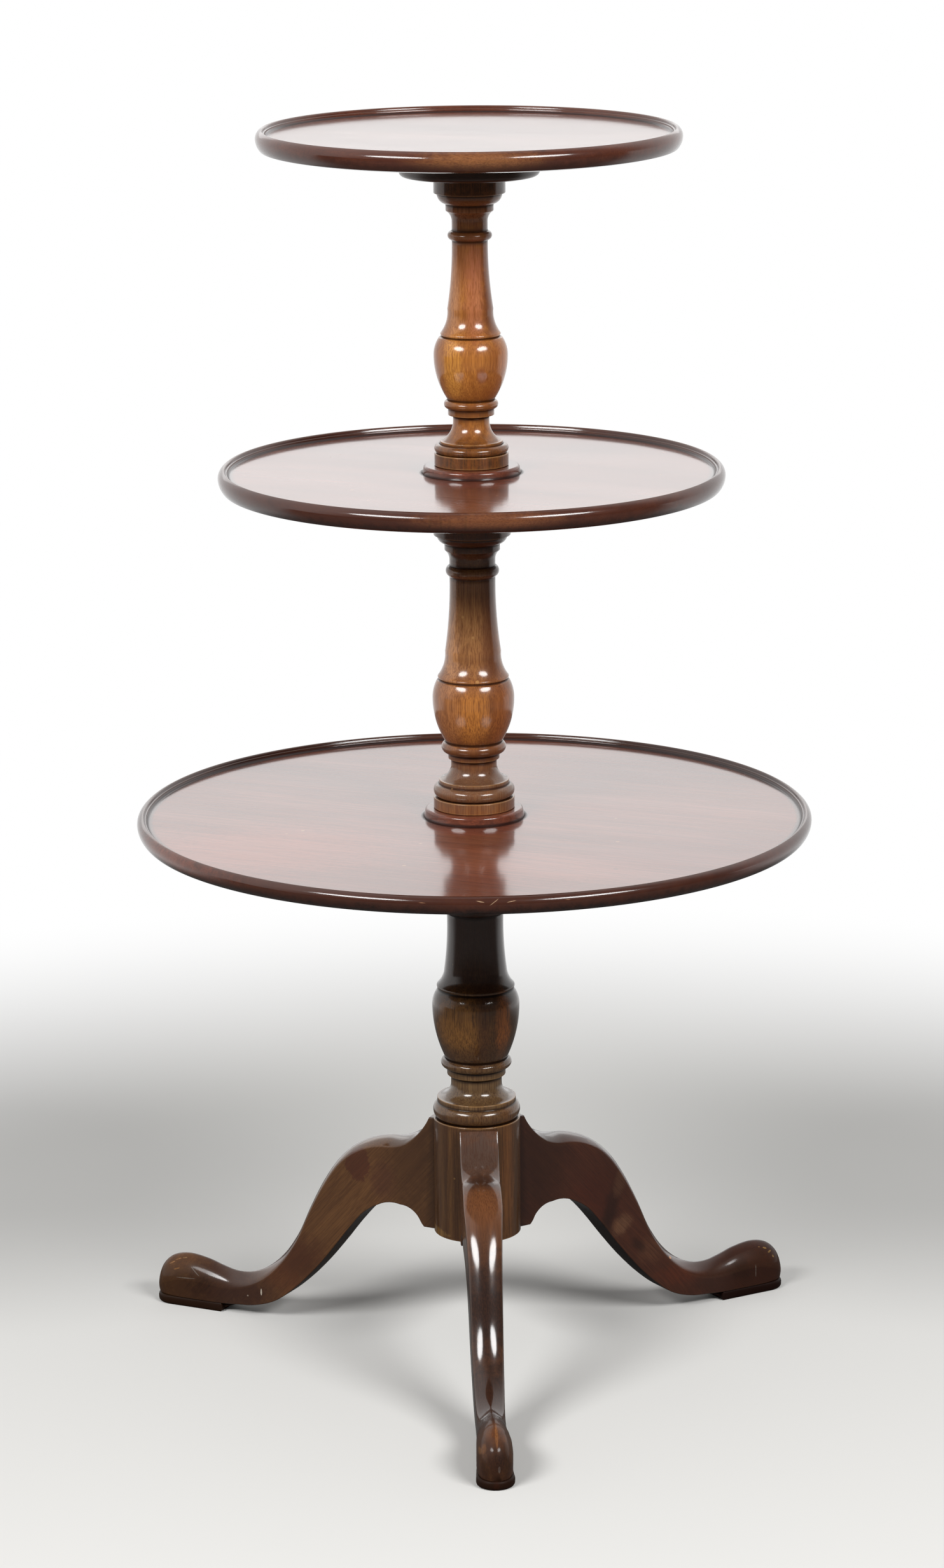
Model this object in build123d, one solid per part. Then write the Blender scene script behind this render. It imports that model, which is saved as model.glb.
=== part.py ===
from build123d import *
import os
from math import atan2, hypot, radians, sqrt, tan

os.makedirs("parts", exist_ok=True)

# Three round mahogany trays turn on a column of three turned sections over a tripod of cabriole legs.
# The origin is on the floor under the column's axis, +Z is up and the front leg points along -Y.

# Trays
lower_tray_radius = 305.0
middle_tray_radius = 226.0
top_tray_radius = 187.5
lower_rim_height = 18.0
middle_rim_height = 19.9
top_rim_height = 19.7
dish_depth = 5.5
rim_width = 16.0
lower_collar_radius = 44.8
middle_collar_radius = 43.4
lower_collar_height = 8.3
middle_collar_height = 7.0
collar_roll = 2.9
collar_cove = 3.0

# Places along a rim, as shares of its width inward from the edge and of its height above the underside
underside_width_share = 1.35
belly_shares = (0.24, 0.12)
widest_height_share = 0.62
roll_top_share = 0.34
quirk_shares = (0.5, 0.9)
bead_shares = (0.53, 0.86)
bead_end_shares = (0.72, 0.84)

# Bearing blocks under the trays, and their screws
block_radius = 62.0
block_thickness = 22.0
block_edge_round = 4.0
screw_circle_radius = 46.0
screws_per_block = 4
screw_length = 30.0
screw_head_radius = 4.2
screw_shank_radius = 2.2
screw_fit = 0.05

# Column, from the foot of the pillar to the top of its last section
pillar_clearance = 120.5
pillar_length = 360.5
middle_length = 270.1
upper_length = 257.1
pillar_plinth_height = 110.0
middle_plinth_height = 10.0
upper_plinth_height = 11.0
pillar_radii = {"plinth": 39.9, "neck": 23.3, "bulb": 39.9, "shaft": 25.8, "cap": 41.0}
middle_radii = {"plinth": 36.7, "neck": 20.7, "bulb": 36.9, "shaft": 20.6, "cap": 34.6}
upper_radii = {"plinth": 33.1, "neck": 16.2, "bulb": 33.0, "shaft": 15.9, "cap": 31.8}
arris_round = 0.8

# Bulges of arcs as shares of their chords: a quarter round, and the gentle ones
quarter_share = tan(radians(45 / 2)) / 2
half_round_share = 1 / 2
ring_fullness_share = 0.9
band_cove_share = 0.15
lip_share = 0.3
flare_share = 0.09
shaft_share = 0.02
ovolo_share = 0.18
quirk_share = 0.16
bead_share = 0.3
dish_cove_share = 0.2

# Heights of the mouldings, as shares of the way from the plinth's top to the cap's top
pillar_height_shares = {
    "torus": 0.060, "fillet": 0.079, "neck": 0.130, "neck_top": 0.152, "band": 0.163, "ring": 0.192,
    "bulb_foot": 0.228, "bulb": 0.431, "shoulder": 0.485, "lip": 0.494, "lip_top": 0.507, "flare": 0.566,
    "shaft": 0.772, "bead": 0.822, "head_neck": 0.842, "head_cove": 0.872, "head_fillet": 0.893,
    "ovolo": 0.934,
}
middle_height_shares = {
    "torus": 0.046, "fillet": 0.062, "neck": 0.114, "neck_top": 0.127, "band": 0.135, "ring": 0.156,
    "bulb_foot": 0.196, "bulb": 0.351, "shoulder": 0.413, "lip": 0.420, "lip_top": 0.431, "flare": 0.516,
    "shaft": 0.772, "bead": 0.818, "head_neck": 0.838, "head_cove": 0.872, "head_fillet": 0.895,
    "ovolo": 0.924,
}
upper_height_shares = {
    "torus": 0.032, "fillet": 0.044, "neck": 0.115, "neck_top": 0.130, "band": 0.137, "ring": 0.161,
    "bulb_foot": 0.193, "bulb": 0.356, "shoulder": 0.419, "lip": 0.425, "lip_top": 0.438, "flare": 0.523,
    "shaft": 0.761, "bead": 0.803, "head_neck": 0.837, "head_cove": 0.875, "head_fillet": 0.899,
    "ovolo": 0.938,
}
# Radii of the mouldings, as shares of the named radius that each group follows
pillar_radius_shares = {
    "plinth": {"fillet": 0.905, "scotia": 0.865},
    "bulb": {
        "band": 0.672, "ring": 0.803, "bulb_foot": 0.710, "shoulder": 0.893,
        "lip": 0.879, "flare": 0.714,
    },
    "cap": {"bead": 0.720, "head_fillet": 0.744, "ovolo": 0.930},
}
middle_radius_shares = {
    "plinth": {"fillet": 0.866, "scotia": 0.830},
    "bulb": {
        "band": 0.630, "ring": 0.770, "bulb_foot": 0.690, "shoulder": 0.893,
        "lip": 0.855, "flare": 0.683,
    },
    "cap": {"bead": 0.692, "head_fillet": 0.720, "ovolo": 0.920},
}
upper_radius_shares = {
    "plinth": {"fillet": 0.845, "scotia": 0.800},
    "bulb": {
        "band": 0.624, "ring": 0.742, "bulb_foot": 0.626, "shoulder": 0.854,
        "lip": 0.792, "flare": 0.618,
    },
    "cap": {"bead": 0.617, "head_fillet": 0.668, "ovolo": 0.912},
}

# Spigots that join the sections and carry the trays
pillar_journal_radius = 17.0
middle_journal_radius = 14.0
upper_journal_radius = 12.0
pillar_tenon_radius = 11.0
middle_tenon_radius = 9.0
tenon_length = 32.0
journal_fit = 0.08
glue_line = 0.1
end_gap = 0.5
running_gap = 0.3

# Legs
leg_count = 3
leg_reach = 343.5
leg_root_height = 107.5
leg_width = 35.0
pad_height = 8.5
pad_length = 75.0
pad_width = 34.0
pad_inner_width = 27.0
dovetail_depth = 13.0
dovetail_neck = 14.0
dovetail_flare = 20.0
dovetail_height = 94.0

# Side of a leg: reach as shares of the leg's reach, height as shares of the root's top above the floor
root_foot_share = 0.137
cusp_shares = (0.150, 0.556)
arch_shares = (0.210, 0.607)
knee_sole_shares = (0.276, 0.593)
knee_crown_shares = (0.361, 0.818)
brow_shares = (0.311, 0.849)
throat_shares = (0.256, 0.870)
cove_shares = (0.188, 0.899)

# Bulges of the side's arcs as shares of their chords
cusp_bow_share = 0.05
arch_rise_share = 0.14
arch_fall_share = 0.09
brow_bow_share = 0.045
throat_bow_share = 0.03
cove_bow_share = 0.06
ledge_bow_share = 0.09

# Stations from the knee to the toe: the sole's reach and height, the crown's reach and height, the width and
# the crown's rise, the last two as shares of the leg's width
station_shares = (
    (0.276, 0.593, 0.361, 0.818, 1.00, 0.02),
    (0.326, 0.545, 0.413, 0.751, 0.94, 0.08),
    (0.373, 0.466, 0.460, 0.651, 0.88, 0.14),
    (0.424, 0.367, 0.500, 0.533, 0.85, 0.17),
    (0.482, 0.262, 0.546, 0.403, 0.83, 0.18),
    (0.546, 0.165, 0.593, 0.294, 0.80, 0.20),
    (0.610, 0.091, 0.649, 0.218, 0.77, 0.23),
    (0.675, 0.055, 0.703, 0.181, 0.74, 0.27),
    (0.739, 0.043, 0.751, 0.173, 0.74, 0.31),
    (0.790, 0.0375, 0.796, 0.185, 0.78, 0.35),
    (0.842, 0.0375, 0.848, 0.205, 0.85, 0.39),
    (0.894, 0.0375, 0.905, 0.214, 0.90, 0.42),
    (0.933, 0.0375, 0.951, 0.199, 0.89, 0.42),
    (0.965, 0.0375, 0.981, 0.163, 0.78, 0.36),
    (0.985, 0.0375, 0.996, 0.113, 0.56, 0.24),
    (0.995, 0.0375, 0.999, 0.068, 0.28, 0.10),
)

# Iron brace under the pillar
brace_thickness = 2.5
brace_hub_radius = 20.0
brace_arm_width = 16.0
brace_reach = 45.5
brace_leg_screw_radius = 36.0
brace_screw_length = 22.0

cut_over = 1.0

# Levels, each from what carries it
pillar_top = pillar_clearance + pillar_length
lower_tray_foot = pillar_top + block_thickness
middle_foot = lower_tray_foot + lower_rim_height - dish_depth + lower_collar_height + running_gap
middle_top = middle_foot + middle_length
middle_tray_foot = middle_top + block_thickness
upper_foot = middle_tray_foot + middle_rim_height - dish_depth + middle_collar_height + running_gap
upper_top = upper_foot + upper_length
top_tray_foot = upper_top + block_thickness
leg_root_top = pillar_clearance + leg_root_height


def outline(moves):
    """Face with the outline's moves, each (x, y, bow); bow is the bulge to the right over the chord."""
    edges = []
    for (x0, y0, _), (x1, y1, bow) in zip(moves, moves[1:] + moves[:1]):
        if hypot(x1 - x0, y1 - y0) == 0:
            continue
        if bow:
            middle = ((x0 + x1) / 2 + bow * (y1 - y0), (y0 + y1) / 2 - bow * (x1 - x0))
            edges.append(ThreePointArc((x0, y0), middle, (x1, y1)))
        else:
            edges.append(Line((x0, y0), (x1, y1)))
    return make_face(edges)


def turned(moves):
    """Solid turned on the lathe from moves of (radius, height, bow)."""
    return revolve(Plane.XZ * outline(moves), Axis.Z)


def upright_bow(start, end):
    """Bow of an arc that stands upright at the end where it is widest or narrowest."""
    return tan(atan2(abs(end[0] - start[0]), abs(end[1] - start[1])) / 2) / 2


def level_bow(start, end):
    """Bow of an arc that starts level."""
    return tan(atan2(abs(end[1] - start[1]), abs(end[0] - start[0])) / 2) / 2


def rod(radius, foot, top):
    """Upright cylinder on the column's axis."""
    return Pos(0, 0, foot) * Cylinder(radius, top - foot, align=(Align.CENTER, Align.CENTER, Align.MIN))


def column_section(foot, top, plinth_height, radii, height_shares, radius_shares):
    """One turned section: plinth, torus, scotia, rings, vase, tapering shaft, bead and capital."""
    plinth_top = foot + plinth_height
    z = {name: plinth_top + share * (top - plinth_top) for name, share in height_shares.items()}
    r = dict(radii)
    for leader, shares in radius_shares.items():
        for name, share in shares.items():
            r[name] = share * radii[leader]
    scotia, neck = (r["scotia"], z["fillet"]), (r["neck"], z["neck"])
    bulb_foot, bulb = (r["bulb_foot"], z["bulb_foot"]), (r["bulb"], z["bulb"])
    shoulder, flare = (r["shoulder"], z["shoulder"]), (r["flare"], z["flare"])
    lip_top = (r["lip"], z["lip_top"])
    head_neck, head_cove = (r["shaft"], z["head_neck"]), (r["head_fillet"], z["head_cove"])
    ovolo_foot, ovolo = (r["head_fillet"], z["head_fillet"]), (r["ovolo"], z["ovolo"])
    ring_bow = ring_fullness_share * (r["ring"] - r["band"]) / (z["bulb_foot"] - z["ring"])
    moves = [
        (0, foot, 0),
        (r["plinth"] - arris_round, foot, 0),
        (r["plinth"], foot + arris_round, quarter_share),
        (r["plinth"], plinth_top - arris_round, 0),
        (r["plinth"] - arris_round, plinth_top, quarter_share),
        (r["fillet"], plinth_top, 0),
        (r["fillet"], z["torus"], (r["plinth"] - r["fillet"]) / (z["torus"] - plinth_top)),
        (r["fillet"], z["fillet"], 0),
        (*scotia, 0),
        (*neck, -upright_bow(scotia, neck)),
        (r["neck"], z["neck_top"], 0),
        (r["band"] - arris_round, z["band"], -band_cove_share),
        (r["band"], z["band"] + arris_round, quarter_share),
        (r["band"], z["ring"], 0),
        (r["bulb_foot"], z["bulb_foot"], ring_bow),
        (*bulb, upright_bow(bulb_foot, bulb)),
        (*shoulder, upright_bow(shoulder, bulb)),
        (r["lip"] - arris_round, z["lip"], 0),
        (*lip_top, lip_share),
        (*flare, -flare_share),
        (r["shaft"], z["shaft"], -shaft_share),
        (r["shaft"], z["bead"], (r["bead"] - r["shaft"]) / (z["bead"] - z["shaft"])),
        (*head_neck, 0),
        (*head_cove, -upright_bow(head_neck, head_cove)),
        (*ovolo_foot, 0),
        (*ovolo, ovolo_share),
        (r["cap"] - arris_round, z["ovolo"], 0),
        (r["cap"], z["ovolo"] + arris_round, quarter_share),
        (r["cap"], top - arris_round, 0),
        (r["cap"] - arris_round, top, quarter_share),
        (0, top, 0),
    ]
    return turned(moves)


def spigot(top, journal_radius, journal_top, tenon_radius):
    """Journal that a tray turns on, with the tenon that enters the section above."""
    journal = rod(journal_radius, top - cut_over, journal_top)
    return journal + rod(tenon_radius, journal_top - cut_over, journal_top + tenon_length)


def socket(foot, tenon_radius):
    """Hole in a section's foot for the tenon below it."""
    return rod(tenon_radius + glue_line, foot - cut_over, foot + tenon_length + end_gap)


def dovetail(grow):
    """Plan of a leg's dovetail along +X, grown all round by a clearance."""
    neck, flare = dovetail_neck / 2 + grow, dovetail_flare / 2 + grow
    outer, inner = pillar_radii["plinth"] + cut_over, pillar_radii["plinth"] - dovetail_depth - grow
    return Polygon((inner, -flare), (outer, -neck), (outer, neck), (inner, flare), align=None)


def leg_places():
    """Directions of the legs in degrees, the front one first."""
    return [-90 + 360 / leg_count * turn for turn in range(leg_count)]


def pillar():
    """Lowest section, with three stopped slots for the legs and holes for the brace's screws."""
    body = column_section(pillar_clearance, pillar_top, pillar_plinth_height, pillar_radii,
                          pillar_height_shares, pillar_radius_shares)
    slot = Pos(0, 0, pillar_clearance - cut_over) * extrude(
        dovetail(glue_line), dovetail_height + glue_line + cut_over)
    for place in leg_places():
        body -= Rot(0, 0, place) * slot
    body -= brace_screw_hole(0)
    return body + spigot(pillar_top, pillar_journal_radius, middle_foot, pillar_tenon_radius)


def middle_column():
    """Section between the lower and middle trays."""
    body = column_section(middle_foot, middle_top, middle_plinth_height, middle_radii,
                          middle_height_shares, middle_radius_shares)
    body -= socket(middle_foot, pillar_tenon_radius)
    return body + spigot(middle_top, middle_journal_radius, upper_foot, middle_tenon_radius)


def upper_column():
    """Section between the middle and top trays, ending in a plain journal for the top tray's block."""
    body = column_section(upper_foot, upper_top, upper_plinth_height, upper_radii,
                          upper_height_shares, upper_radius_shares)
    body -= socket(upper_foot, middle_tenon_radius)
    return body + rod(upper_journal_radius, upper_top - cut_over, top_tray_foot - end_gap)


def tray_moves(foot, radius, rim_height):
    """Outline of a tray's edge from its flat underside over the rim to the dish."""
    def at(inward_share, height_share):
        return radius - inward_share * rim_width, foot + height_share * rim_height

    under, belly, widest = at(underside_width_share, 0), at(*belly_shares), at(0, widest_height_share)
    roll, quirk = at(roll_top_share, 1), at(*quirk_shares)
    bead, bead_end = at(*bead_shares), at(*bead_end_shares)
    dish = foot + rim_height - dish_depth
    return [
        (*under, 0),
        (*belly, level_bow(under, belly)),
        (*widest, upright_bow(belly, widest)),
        (*roll, upright_bow(widest, roll)),
        (*quirk, quirk_share),
        (*bead, 0),
        (*bead_end, bead_share),
        (radius - rim_width, dish, -dish_cove_share),
    ]


def collared_tray(foot, radius, rim_height, journal_radius, collar_radius, collar_height):
    """Tray with a bore for the journal and a raised collar under the section above it."""
    bore = journal_radius + journal_fit
    dish = foot + rim_height - dish_depth
    top = dish + collar_height
    side, brim = (collar_radius, dish + collar_cove), (collar_radius - collar_roll, top)
    moves = [(bore, foot, 0)] + tray_moves(foot, radius, rim_height)
    moves += [
        (collar_radius + collar_cove, dish, 0),
        (*side, -quarter_share),
        (*brim, upright_bow(side, brim)),
        (bore, top, 0),
    ]
    return turned(moves)


def plain_tray(foot, radius, rim_height):
    """Top tray, unbroken at its middle."""
    dish = foot + rim_height - dish_depth
    return turned([(0, foot, 0)] + tray_moves(foot, radius, rim_height) + [(0, dish, 0)])


def screw_places():
    """Screws of one block, halfway between the tray's long and cross grain."""
    return [Rot(0, 0, 360 / screws_per_block * (turn + 1 / 2)) * Pos(screw_circle_radius, 0, 0)
            for turn in range(screws_per_block)]


def screw(length, head_at, grow):
    """Countersunk screw pointing up from its flush head, grown by a fit for its hole."""
    head = screw_head_radius + grow
    shank = screw_shank_radius + grow
    sink = screw_head_radius - screw_shank_radius
    return turned([
        (0, head_at, 0), (head, head_at, 0), (shank, head_at + sink, 0),
        (shank, head_at + length - shank + grow, 0), (0, head_at + length + grow, 0),
    ])


def bearing_block(foot, journal_radius):
    """Turned disc screwed under a tray, which runs on the journal."""
    bore = journal_radius + journal_fit
    top = foot + block_thickness
    return turned([
        (bore, foot, 0), (block_radius - block_edge_round, foot, 0),
        (block_radius, foot + block_edge_round, quarter_share), (block_radius, top, 0), (bore, top, 0),
    ])


def screw_holes(foot):
    """Holes of a block's screws, through the block and into the tray."""
    return [place * screw(screw_length, foot, screw_fit) for place in screw_places()]


def block_screws(foot):
    """The screws of one block as separate solids."""
    return Compound([place * screw(screw_length, foot, 0) for place in screw_places()])


def side_point(reach_share, height_share):
    """Reach and height of a point on a leg's side."""
    return reach_share * leg_reach, height_share * leg_root_top


def leg_root():
    """Sawn upper part of a leg, from the pillar to the knee, with flat sides."""
    inner = sqrt(pillar_radii["plinth"] ** 2 - (leg_width / 2) ** 2) - cut_over
    moves = [
        (inner, pillar_clearance, 0),
        (root_foot_share * leg_reach, pillar_clearance, 0),
        (*side_point(*cusp_shares), cusp_bow_share),
        (*side_point(*arch_shares), -arch_rise_share),
        (*side_point(*knee_sole_shares), -arch_fall_share),
        (*side_point(*knee_crown_shares), 0),
        (*side_point(*brow_shares), brow_bow_share),
        (*side_point(*throat_shares), throat_bow_share),
        (*side_point(*cove_shares), -cove_bow_share),
        (pillar_radii["plinth"] + arris_round, leg_root_top, -ledge_bow_share),
        (inner, leg_root_top, 0),
    ]
    side = Plane.XZ * outline(moves)
    return extrude(side, leg_width / 2, both=True)


def leg_station(sole_x, sole_z, crown_x, crown_z, width_share, rise_share):
    """Cross-section of a leg between a point of its sole and the point of its crown over it."""
    sole = Plane.XZ.from_local_coords(side_point(sole_x, sole_z))
    up = Plane.XZ.from_local_coords(side_point(crown_x, crown_z)) - sole
    half, depth = width_share * leg_width / 2, up.length
    side = depth - rise_share * leg_width
    plane = Plane(origin=sole, x_dir=(0, -1, 0), z_dir=Vector(0, -1, 0).cross(up))
    edges = [
        Line((-half, 0), (half, 0)),
        Line((half, 0), (half, side)),
        ThreePointArc((half, side), (0, depth), (-half, side)),
        Line((-half, side), (-half, 0)),
    ]
    return plane * make_face(edges)


def foot_pad():
    """Thin platform carved under the foot, narrower at its square inner end and round at the toe."""
    round_at = leg_reach - pad_width / 2
    inner = leg_reach - pad_length
    plan = outline([
        (inner, -pad_inner_width / 2, 0), (round_at, -pad_width / 2, 0),
        (round_at, pad_width / 2, half_round_share), (inner, pad_inner_width / 2, 0),
    ])
    return extrude(plan, pad_height)


def leg(place):
    """Cabriole leg with its dovetail, turned to its place round the pillar."""
    shin = loft([leg_station(*row) for row in station_shares])
    body = leg_root() + shin + foot_pad()
    body -= rod(pillar_radii["plinth"] + glue_line, 0, leg_root_top + cut_over)
    body += Pos(0, 0, pillar_clearance) * extrude(dovetail(0), dovetail_height)
    body -= brace_screw_hole(brace_leg_screw_radius)
    return Rot(0, 0, place) * body


def brace_foot():
    """Level of the brace's underside."""
    return pillar_clearance - brace_thickness


def brace_screw_hole(reach):
    """Hole of one brace screw, at a reach along +X."""
    return Pos(reach, 0, 0) * screw(brace_screw_length, brace_foot(), screw_fit)


def brace_screw_places():
    """One screw up into the pillar and one into each leg's dovetail."""
    return [Rot(0, 0, 0)] + [Rot(0, 0, place) * Pos(brace_leg_screw_radius, 0, 0) for place in leg_places()]


def tripod_brace():
    """Three-armed iron plate that keeps the dovetails from dropping."""
    plan = Circle(brace_hub_radius)
    for place in leg_places():
        arm = Pos(brace_reach / 2, 0) * Rectangle(brace_reach, brace_arm_width)
        plan += Rot(0, 0, place) * arm
    plate = Pos(0, 0, brace_foot()) * extrude(plan, brace_thickness)
    for place in brace_screw_places():
        plate -= place * screw(brace_screw_length, brace_foot(), screw_fit)
    return plate


def brace_screws():
    """The brace's screws as separate solids."""
    return Compound([place * screw(brace_screw_length, brace_foot(), 0) for place in brace_screw_places()])


lower_tray = collared_tray(lower_tray_foot, lower_tray_radius, lower_rim_height,
                           pillar_journal_radius, lower_collar_radius, lower_collar_height)
middle_tray = collared_tray(middle_tray_foot, middle_tray_radius, middle_rim_height,
                            middle_journal_radius, middle_collar_radius, middle_collar_height)
top_tray = plain_tray(top_tray_foot, top_tray_radius, top_rim_height)

nodes = {
    "pillar": pillar(),
    "middle_column": middle_column(),
    "upper_column": upper_column(),
    "tripod_brace": tripod_brace(),
    "brace_screws": brace_screws(),
}
for name, tray, foot, journal_radius in (
    ("lower", lower_tray, pillar_top, pillar_journal_radius),
    ("middle", middle_tray, middle_top, middle_journal_radius),
    ("top", top_tray, upper_top, upper_journal_radius),
):
    block = bearing_block(foot, journal_radius)
    for hole in screw_holes(foot):
        tray -= hole
        block -= hole
    nodes[name + "_tray"] = tray
    nodes[name + "_bearing_block"] = block
    nodes[name + "_block_screws"] = block_screws(foot)
for name, place in zip(("leg_front", "leg_right", "leg_left"), leg_places()):
    nodes[name] = leg(place)

for name, shape in nodes.items():
    export_step(shape, "parts/" + name + ".step")
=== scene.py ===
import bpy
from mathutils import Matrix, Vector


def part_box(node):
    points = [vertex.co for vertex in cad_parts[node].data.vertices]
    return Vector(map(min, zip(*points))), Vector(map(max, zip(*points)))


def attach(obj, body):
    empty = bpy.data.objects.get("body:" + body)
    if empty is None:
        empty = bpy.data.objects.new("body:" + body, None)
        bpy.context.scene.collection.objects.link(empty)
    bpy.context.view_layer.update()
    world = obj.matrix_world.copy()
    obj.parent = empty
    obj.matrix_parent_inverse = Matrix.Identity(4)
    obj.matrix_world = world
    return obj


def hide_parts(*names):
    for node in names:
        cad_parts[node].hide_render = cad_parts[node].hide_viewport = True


bl_info = {
    "name": "Dumbwaiter table",
    "version": (1, 1, 0),
    "blender": (4, 5, 0),
    "location": "3D View > Sidebar > Table",
    "description": "Finishes a three-tier mahogany dumbwaiter table and sets it in a plain studio",
    "category": "Object",
}

from functools import partial
from math import atan, atan2, ceil, cos, dist, hypot, inf, pi, radians, sin, sqrt, tan

import bmesh
import bpy
from bpy.props import FloatProperty, FloatVectorProperty, IntProperty, PointerProperty
from mathutils import Matrix, Vector

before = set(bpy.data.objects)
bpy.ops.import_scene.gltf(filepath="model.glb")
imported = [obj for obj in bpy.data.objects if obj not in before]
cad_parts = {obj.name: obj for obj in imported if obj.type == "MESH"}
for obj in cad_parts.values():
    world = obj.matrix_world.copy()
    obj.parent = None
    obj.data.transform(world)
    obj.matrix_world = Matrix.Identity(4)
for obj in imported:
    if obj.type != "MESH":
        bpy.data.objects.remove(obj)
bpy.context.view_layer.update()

# Lengths of the shapes are in millimetres, and their meshes in metres
MM = 0.001
# Bow of a quarter circle
QUARTER = tan(radians(45 / 2)) / 2
# How far an arris and a hollow reach along an outline
ARRIS_REACH = 1.6
HOLLOW_REACH = 2.8

# Turned sections, each with a size for the pillar, the middle and the upper one, as in the part's source
SECTIONS = ("pillar", "middle", "upper")
PLINTH_HEIGHTS = (110.0, 10.0, 11.0)
SECTION_RADII = {
    "plinth": (39.9, 36.7, 33.1), "neck": (23.3, 20.7, 16.2), "bulb": (39.9, 36.9, 33.0), "shaft": (25.8, 20.6, 15.9),
    "cap": (41.0, 34.6, 31.8),
}
# Heights of the mouldings as shares of the height above the plinth
MOULDING_HEIGHTS = {
    "torus": (0.060, 0.046, 0.032), "fillet": (0.079, 0.062, 0.044), "neck": (0.130, 0.114, 0.115),
    "neck_top": (0.152, 0.127, 0.130), "band": (0.163, 0.135, 0.137), "ring": (0.192, 0.156, 0.161),
    "bulb_foot": (0.228, 0.196, 0.193), "bulb": (0.431, 0.351, 0.356), "shoulder": (0.485, 0.413, 0.419),
    "lip": (0.494, 0.420, 0.425), "lip_top": (0.507, 0.431, 0.438), "flare": (0.566, 0.516, 0.523),
    "shaft": (0.772, 0.772, 0.761), "bead": (0.822, 0.818, 0.803), "head_neck": (0.842, 0.838, 0.837),
    "head_cove": (0.872, 0.872, 0.875), "head_fillet": (0.893, 0.895, 0.899), "ovolo": (0.934, 0.924, 0.938),
}
# Radii of the mouldings as shares of a larger radius
MOULDING_RADII = {
    "fillet": ("plinth", 0.905, 0.866, 0.845), "scotia": ("plinth", 0.865, 0.830, 0.800),
    "band": ("bulb", 0.672, 0.630, 0.624), "ring": ("bulb", 0.803, 0.770, 0.742),
    "bulb_foot": ("bulb", 0.710, 0.690, 0.626), "shoulder": ("bulb", 0.893, 0.893, 0.854),
    "lip": ("bulb", 0.879, 0.855, 0.792), "flare": ("bulb", 0.714, 0.683, 0.618), "bead": ("cap", 0.720, 0.692, 0.617),
    "head_fillet": ("cap", 0.744, 0.720, 0.668), "ovolo": ("cap", 0.930, 0.920, 0.912),
}

# Trays: radius, rim height, journal under it, collar radius and height (none on the top tray)
TRAYS = {
    "lower": (305.0, 18.0, 17.0, 44.8, 8.3),
    "middle": (226.0, 19.9, 14.0, 43.4, 7.0),
    "top": (187.5, 19.7, 12.0, 0.0, 0.0),
}
RIM_WIDTH = 11.0
# How dark each tray's moulded rim has stayed
RIM_TONES = (0.75, 0.65, 0.5)
DISH_DEPTH = 5.5
JOURNAL_FIT = 0.08
BLOCK_RADIUS = 62.0
BLOCK_ROUND = 4
BLOCK_SCREW_TURNS = (45, 135, 225, 315)
SCREW_CIRCLE = 46.0
SCREW_LENGTH = 30.0
BRACE_SCREW_LENGTH = 22.0
BRACE_SCREW_CIRCLE = 36.0
TENON_LENGTH = 32.0
TENON_RADII = (11.0, 9.0)
TENON_FIT = 0.1
DOVETAIL = ((27.0, -10.0), (40.5, -7.0), (40.5, 7.0), (27.0, 10.0))
DOVETAIL_SLOT = ((26.9, -10.1), (41.0, -7.1), (41.0, 7.1), (26.9, 10.1))
DOVETAIL_HEIGHT = 94

# Legs: reach, width, the height of the root's top above the floor, and the slope of the grain in degrees
LEG_REACH = 343.5
LEG_WIDTH = 35.0
LEG_TOP = 228.0
LEG_GRAIN = -48
PAD_WIDTH = 34.0
PAD_INNER_WIDTH = 27.0
PAD_LENGTH = 75.0
PAD_HEIGHT = 8.5
LEG_PLACES = {"leg_front": -90, "leg_right": 30, "leg_left": 150}
ROOT_ROWS = 40
STATION_STEPS = 6
# Side of the root: reach and height shares of each arc's end and the arc's bow
ROOT_SOLE = ((0.137, 0.5285, 0), (0.150, 0.556, 0.05), (0.210, 0.607, -0.14), (0.276, 0.593, -0.09))
ROOT_CROWN = ((0.1185, 1.0, 0), (0.188, 0.899, 0.078), (0.256, 0.870, 0.06), (0.361, 0.818, -0.065))
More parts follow.
